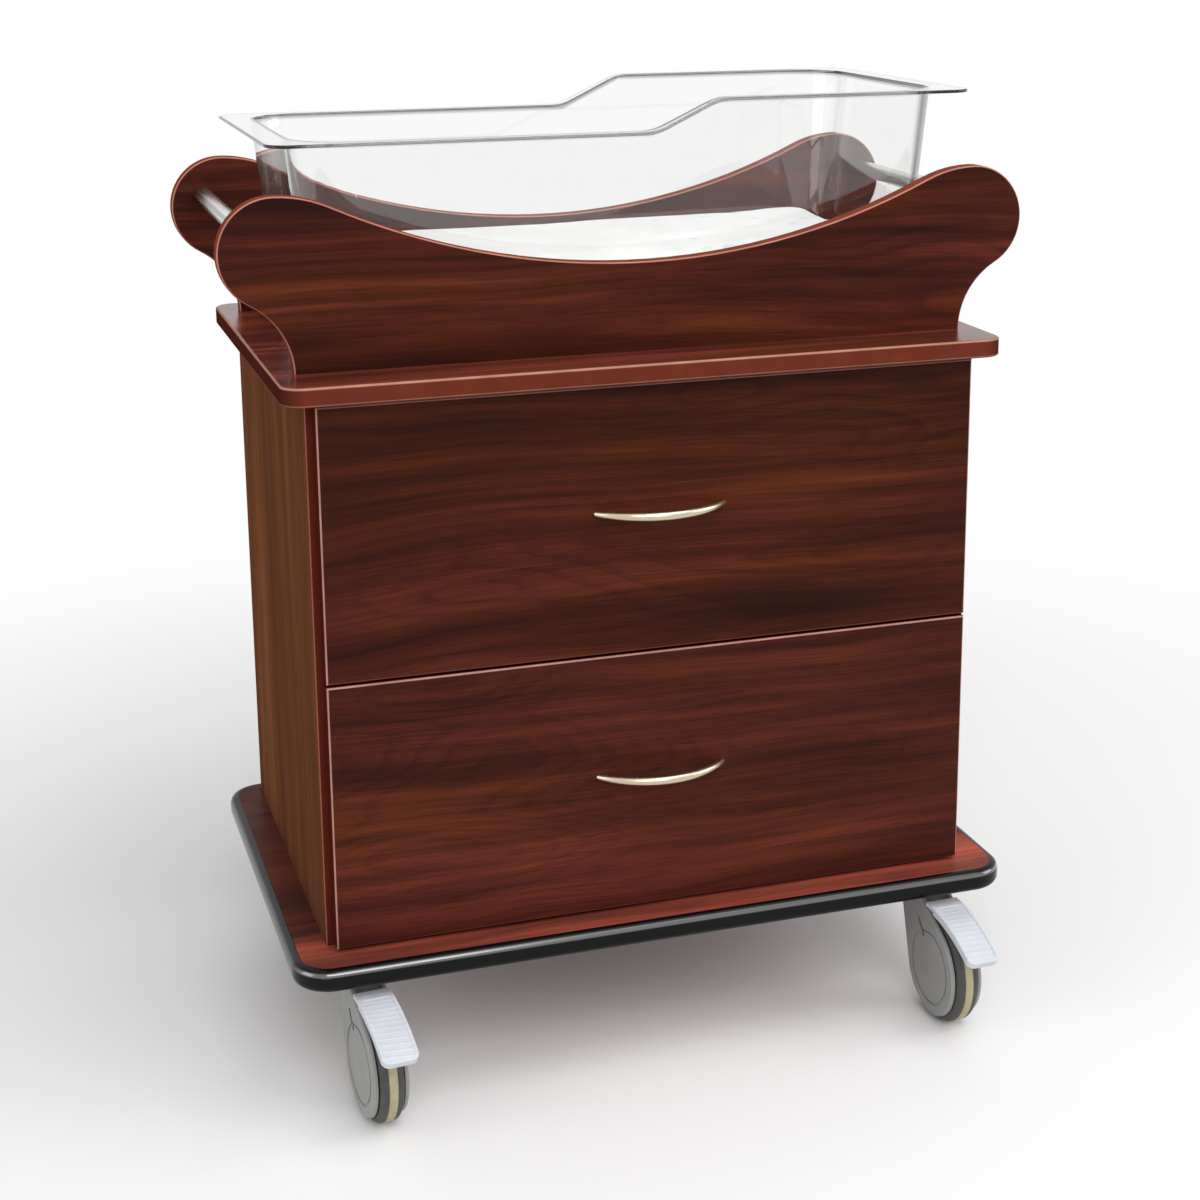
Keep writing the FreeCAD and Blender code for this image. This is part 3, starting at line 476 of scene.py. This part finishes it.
# ---------------------------------------------------------------- which node wears which finish
# boards by the direction of their grain, with what sets each apart
# the corner colours paint a highlight on each band's rounded lip; the cradle panels' lighter edge colour is
# partly their band's tone and partly painted sheen
DRAWER_EDGE = dict(edge=srgb(82, 30, 24), corner=srgb(198, 148, 136), highlight_share=1.0)
CRADLE_EDGE = dict(edge=srgb(132, 68, 54), corner=srgb(204, 138, 118), highlight_share=0.92)
SLAB_EDGE = dict(edge=srgb(108, 50, 37), corner=srgb(200, 150, 128), highlight_share=0.85, end_shade=0.6)
HORIZONTAL = {"upper_drawer_front": dict(seed=1.0, red=0.3, brighten=0.64, cathedral=0.7, **DRAWER_EDGE),
              "lower_drawer_front": dict(seed=2.3, red=0.6, brighten=0.94, cathedral=0.5, **DRAWER_EDGE),
              "front_cradle_panel": dict(seed=3.6, red=0.55, brighten=0.64, contrast=1.2, **CRADLE_EDGE),
              "rear_cradle_panel": dict(seed=4.4, red=0.95, brighten=0.7, **CRADLE_EDGE),
              "back_panel": dict(seed=5.2)}
# the base board's and the slab's high brighten paints into their colour the extra light that falls on their
# upper faces
LEVEL = {"base_board": dict(seed=6.1, red=0.8, brighten=4.6, shine=0.05, dark_from=(-0.165, -0.1)),
         "top_slab": dict(seed=7.7, red=0.8, brighten=2.2, shine=0.3, gloss=(0.16, 0.24), **SLAB_EDGE),
         "bottom_panel": dict(seed=8.3),
         "divider_rail": dict(seed=9.4),
         "top_rails": dict(seed=9.9)}
# the side panels get no shine: their brighter walnut palette is partly their own tone and partly their
# sheen painted in
SIDE = dict(palettes=(WALNUT_AND_SHEEN, WALNUT_AND_SHEEN), cathedral=0.3, shine=0.0, brighten=2.3, contrast=0.5)
VERTICAL = {"left_side_panel": dict(seed=10.6, **SIDE), "right_side_panel": dict(seed=11.9, **SIDE)}
WHITE_BOARDS = [f"{drawer}_drawer_{board}" for drawer in ("upper", "lower")
                for board in ("left", "right", "back", "bottom")]


def dress(piece, material):
    piece.data.materials.clear()
    piece.data.materials.append(material)


def tyre_finish(name):
    caster = name[:-len("_tyre")]
    roll = next(joint for joint in frame["joints"] if joint["name"] == caster + "_roll")
    return two_tone_tyre("tyre_" + caster, roll["pos_m"], roll["axis"])


def dress_frame():
    """Give every CAD node its finish: boards by name, the rest by the last word of the name."""
    for boards, along, across in ((HORIZONTAL, "x", "z"), (LEVEL, "x", "y"), (VERTICAL, "z", "y")):
        for name, look in boards.items():
            dress(nodes[name], wood("mahogany_" + name, along, across, **look))
    pale = board_white("pale_board")
    zinc = metal("zinc", srgb(190, 192, 196), 0.34, (60.0, 60.0, 60.0))
    by_last_word = {
        "bumper": glossy_black("black_bumper"),
        "bar": metal("stainless", srgb(222, 218, 210), 0.2, (500.0, 6.0, 500.0), 0.00001, TUBE_REFLECTION_BANDS),
        "handle": metal("satin_nickel", srgb(208, 193, 168), 0.24, (14.0, 1300.0, 1300.0)),
        "tub": clear_plastic("clear_plastic"),
        "hood": moulded("caster_grey", srgb(152, 153, 151), 0.42),
        "wheel": moulded("wheel_grey", srgb(134, 135, 133), 0.46),
        "pedal": moulded("pedal_grey", srgb(220, 224, 232), 0.3, 600.0, rib_pitch=0.007),
        "screws": zinc, "bolts": zinc, "mounts": zinc, "axle": zinc,
    }
    for name, node in nodes.items():
        last_word = name.split("_")[-1]
        if name in WHITE_BOARDS:
            dress(node, pale)
        elif "_slide_" in name:
            dress(node, zinc)
        elif last_word == "tyre":
            dress(node, tyre_finish(name))
        elif last_word in by_last_word:
            dress(node, by_last_word[last_word])


# ---------------------------------------------------------------- mattress, in metres
pad_inset = 0.001                       # how much smaller the pad starts, before it swells
pad_corner, pad_edge = 0.022, 0.008
pad_voxel = 0.006
swell_cap = 0.006                       # how far a point may move as the pad swells
swell_frames = 20
crown, head_rise, dimple_depth = 0.002, 0.004, 0.0012
reach_low, reach_gain = 0.0012, 0.006   # how far the sides may stand out, at the foot and more above
piping_radius = 0.0022
piping_above_foot, piping_below_top = 0.013, 0.011
print_length = 0.27                     # how far from the head end the cover is printed


def mesh_object(name, geometry):
    mesh = bpy.data.meshes.new(name)
    geometry.to_mesh(mesh)
    geometry.free()
    piece = bpy.data.objects.new(name, mesh)
    bpy.context.scene.collection.objects.link(piece)
    return piece


def rounded_ring(low, high, inset, corner, steps=10):
    """Points of a rounded rectangle inside a box, seen from above."""
    half_x, half_y = (high.x - low.x) / 2 - inset, (high.y - low.y) / 2 - inset
    middle = (low + high) / 2
    points = []
    for sx, sy, start in ((1, 1, 0), (-1, 1, 90), (-1, -1, 180), (1, -1, 270)):
        for step in range(steps + 1):
            angle = math.radians(start + 90 * step / steps)
            points.append((middle.x + sx * (half_x - corner) + corner * math.cos(angle),
                           middle.y + sy * (half_y - corner) + corner * math.sin(angle)))
    return points


def pad_start(low, high, levels=6):
    """Rounded block that the mattress swells from."""
    leans = [math.pi / 2 * level / levels for level in range(levels + 1)]
    rings = [(pad_edge * (1 - math.sin(lean)), low.z + pad_edge * (1 - math.cos(lean))) for lean in leans]
    rings += [(pad_edge * (1 - math.cos(lean)), high.z - pad_edge * (1 - math.sin(lean))) for lean in leans]
    geometry = bmesh.new()
    loops = []
    for inset, z in rings:
        points = rounded_ring(low, high, pad_inset + inset, pad_corner - inset * 0.5)
        loops.append([geometry.verts.new((x, y, z)) for x, y in points])
    for first, second in zip(loops, loops[1:]):
        for i in range(len(first)):
            j = (i + 1) % len(first)
            geometry.faces.new((first[i], first[j], second[j], second[i]))
    geometry.faces.new(list(reversed(loops[0])))
    geometry.faces.new(loops[-1])
    return mesh_object("mattress_pad", geometry)


def apply_modifier(piece, modifier):
    bpy.context.view_layer.objects.active = piece
    bpy.ops.object.modifier_apply(modifier=modifier.name)


def swell(pad):
    """Fill the sewn cover: a cloth simulation under pressure, with each point's move capped."""
    remesh = pad.modifiers.new("remesh", "REMESH")
    remesh.mode = "VOXEL"
    remesh.voxel_size = pad_voxel
    apply_modifier(pad, remesh)
    start = [vertex.co.copy() for vertex in pad.data.vertices]
    cloth = pad.modifiers.new("cloth", "CLOTH")
    cloth.settings.quality = 5
    cloth.settings.use_pressure = True
    cloth.settings.uniform_pressure_force = 4.0
    cloth.settings.tension_stiffness = 40.0
    cloth.settings.compression_stiffness = 40.0
    cloth.settings.bending_stiffness = 2.0
    cloth.settings.effector_weights.gravity = 0.0
    for step in range(1, swell_frames + 1):
        bpy.context.scene.frame_set(step)
    shape = pad.evaluated_get(bpy.context.evaluated_depsgraph_get())
    moved = [vertex.co.copy() for vertex in shape.data.vertices]
    pad.modifiers.remove(cloth)
    bpy.context.scene.frame_set(1)
    for vertex, before, after in zip(pad.data.vertices, start, moved):
        shift = after - before
        vertex.co = before + shift * min(1.0, swell_cap / max(shift.length, 1e-9))


def settle(pad, low, high):
    """Crown the top, keep the underside flat and every side inside the tub."""
    middle, half = (low + high) / 2, (high - low) / 2
    for vertex in pad.data.vertices:
        co = vertex.co
        across, along = (co.y - middle.y) / half.y, (co.x - middle.x) / half.x
        share = max(0.0, (co.z - low.z) / (high.z - low.z))
        rise = crown + head_rise * max(0.0, along)
        rise *= max(0.0, 1 - abs(across) ** 16) * max(0.0, 1 - abs(along) ** 24)
        dimple = dimple_depth * math.sin(co.x * 21.0 + 0.6) * math.sin(co.y * 33.0 + 1.1)
        co.z = max(co.z + share ** 3 * (rise + dimple), low.z)
        reach = reach_low + reach_gain * share
        co.x = min(max(co.x, low.x - reach), high.x + reach)
        co.y = min(max(co.y, low.y - reach), high.y + reach)


def seam_path(pad, low, high, height, spread=0.004, steps=140):
    """Where a level seam runs round the pad: the outermost points near that height."""
    middle = (low + high) / 2
    best = {}
    for point in [vertex.co for vertex in pad.data.vertices if abs(vertex.co.z - height) < spread]:
        offset = point - middle
        angle = math.atan2(offset.y, offset.x)
        sector = int((angle + math.pi) / (2 * math.pi) * steps) % steps
        reach = math.hypot(offset.x, offset.y)
        if reach > best.get(sector, (0.0, None))[0]:
            best[sector] = (reach, point)
    return [(best[sector][1].x, best[sector][1].y, height) for sector in sorted(best)]


def piping(name, path, material):
    """Closed round cord along a path."""
    curve = bpy.data.curves.new(name, "CURVE")
    curve.dimensions = "3D"
    curve.bevel_depth = piping_radius
    curve.bevel_resolution = 3
    spline = curve.splines.new("NURBS")
    spline.points.add(len(path) - 1)
    for point, co in zip(spline.points, path):
        point.co = (*co, 1.0)
    spline.use_cyclic_u = True
    spline.order_u = 4
    piece = bpy.data.objects.new(name, curve)
    bpy.context.scene.collection.objects.link(piece)
    curve.materials.append(material)
    return piece


def make_mattress():
    low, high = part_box("mattress")
    fabric = cotton("cotton_cover", high.x - print_length)
    pad = pad_start(low, high)
    swell(pad)
    settle(pad, low, high)
    smooth = pad.modifiers.new("smooth", "SUBSURF")
    smooth.levels = smooth.render_levels = 1
    apply_modifier(pad, smooth)
    for polygon in pad.data.polygons:
        polygon.use_smooth = True
    dress(pad, fabric)
    pieces = [pad]
    for name, height in (("mattress_piping_low", low.z + piping_above_foot),
                         ("mattress_piping_high", high.z - piping_below_top)):
        pieces.append(piping(name, seam_path(pad, low, high, height), fabric))
    for piece in pieces:
        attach(piece, "mattress")
    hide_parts("mattress")


# ---------------------------------------------------------------- stage, light and camera
WHITE = (1.0, 1.0, 1.0, 1.0)
room_light = 0.55                       # what the world gives to surfaces
fade_near, fade_far = 0.75, 2.1         # where the floor turns into the white background, in metres
floor_half = 30.0


def seen_directly(tree):
    """1 for rays that look at the background: from the camera, a reflection or a clear part."""
    path = tree.nodes.new("ShaderNodeLightPath")
    total = path.outputs["Is Camera Ray"]
    for name in ("Is Glossy Ray", "Is Transmission Ray"):
        either = tree.nodes.new("ShaderNodeMath")
        either.operation = "MAXIMUM"
        tree.links.new(total, either.inputs[0])
        tree.links.new(path.outputs[name], either.inputs[1])
        total = either.outputs[0]
    return total


def make_stage():
    """Pale floor that fades to white: a little darker for the light that it sends to the object."""
    geometry = bmesh.new()
    bmesh.ops.create_grid(geometry, x_segments=1, y_segments=1, size=floor_half)
    floor = mesh_object("floor", geometry)
    t = Tree("floor_pale")
    where, axes = t.place()
    seen = seen_directly(t.tree)
    cloud = t.noise(where, 0.7, 2.0)
    lit = t.ramp(cloud, [(0.3, scaled(WHITE, 0.78)), (0.7, scaled(WHITE, 0.81))])
    pale = t.ramp(cloud, [(0.3, scaled(WHITE, 0.95)), (0.7, scaled(WHITE, 0.97))])
    t.set(Base_Color=t.mix(seen, lit, pale), Roughness=0.85, Specular_IOR_Level=0.1)
    reach = t.math("SQRT", t.add(t.times(axes["x"], axes["x"]), t.times(axes["y"], axes["y"])))
    away = t.tree.nodes.new("ShaderNodeMapRange")
    away.interpolation_type = "SMOOTHSTEP"
    away.inputs["From Min"].default_value, away.inputs["From Max"].default_value = fade_near, fade_far
    t.link(reach, away.inputs["Value"])
    white = t.tree.nodes.new("ShaderNodeEmission")
    mix_shaders(t.tree, t.times(away.outputs[0], seen), t.shader.outputs[0], white.outputs[0],
                t.output.inputs["Surface"])
    floor.data.materials.append(t.material)


def white_world():
    """White backdrop, and a weaker even light from the same world."""
    world = bpy.data.worlds.new("studio")
    bpy.context.scene.world = world
    world.use_nodes = True
    tree = world.node_tree
    tree.nodes.clear()
    output = tree.nodes.new("ShaderNodeOutputWorld")
    backgrounds = []
    for strength in (room_light, 1.0):
        background = tree.nodes.new("ShaderNodeBackground")
        background.inputs["Color"].default_value = WHITE
        background.inputs["Strength"].default_value = strength
        backgrounds.append(background.outputs[0])
    mix_shaders(tree, seen_directly(tree), *backgrounds, output.inputs[0])


def softbox(name, place, width, height, power, aim=(0.0, 0.0, 0.6)):
    light = bpy.data.lights.new(name, "AREA")
    light.shape = "RECTANGLE"
    light.size, light.size_y, light.energy = width, height, power
    lamp = bpy.data.objects.new(name, light)
    bpy.context.scene.collection.objects.link(lamp)
    lamp.location = place
    lamp.rotation_euler = (Vector(aim) - Vector(place)).to_track_quat("-Z", "Y").to_euler()


def make_lights():
    softbox("top_box", (1.1, -1.6, 3.8), 2.6, 2.2, 44.0)
    softbox("front_box", (-0.4, -3.4, 2.9), 2.4, 1.8, 52.0)
    softbox("side_box", (-3.5, -0.6, 1.5), 2.0, 2.0, 20.0)
    softbox("right_box", (3.4, -1.2, 2.0), 2.0, 2.0, 30.0)


camera_from_front = (-0.6997, -2.0529, 1.2260)      # x, distance from the drawers' face, height
camera_heading, camera_pitch, camera_roll = 18.514, -13.734, -0.222     # degrees
camera_lens, camera_shift = 64.92, (-0.0407, -0.1338)


def make_camera():
    """Camera at the place and with the lens that the object's known edges give."""
    yaw, pitch, roll = (math.radians(angle) for angle in (camera_heading, camera_pitch, camera_roll))
    ahead = Vector((math.sin(yaw) * math.cos(pitch), math.cos(yaw) * math.cos(pitch), math.sin(pitch)))
    right = Vector((math.cos(yaw), -math.sin(yaw), 0.0))
    up = right.cross(ahead)
    right, up = (math.cos(roll) * right + math.sin(roll) * up,
                 math.cos(roll) * up - math.sin(roll) * right)
    data = bpy.data.cameras.new("camera")
    data.sensor_width, data.lens = 36.0, camera_lens
    data.shift_x, data.shift_y = camera_shift
    data.clip_start, data.clip_end = 0.05, 100.0
    camera = bpy.data.objects.new("camera", data)
    bpy.context.scene.collection.objects.link(camera)
    turn = Matrix((right, up, -ahead)).transposed()
    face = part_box("upper_drawer_front")[0].y
    place = Vector((camera_from_front[0], face + camera_from_front[1], camera_from_front[2]))
    camera.matrix_world = Matrix.Translation(place) @ turn.to_4x4()
    bpy.context.scene.camera = camera


dress_frame()
make_mattress()
make_stage()
white_world()
make_lights()
make_camera()
bpy.context.scene.view_settings.view_transform = "Standard"
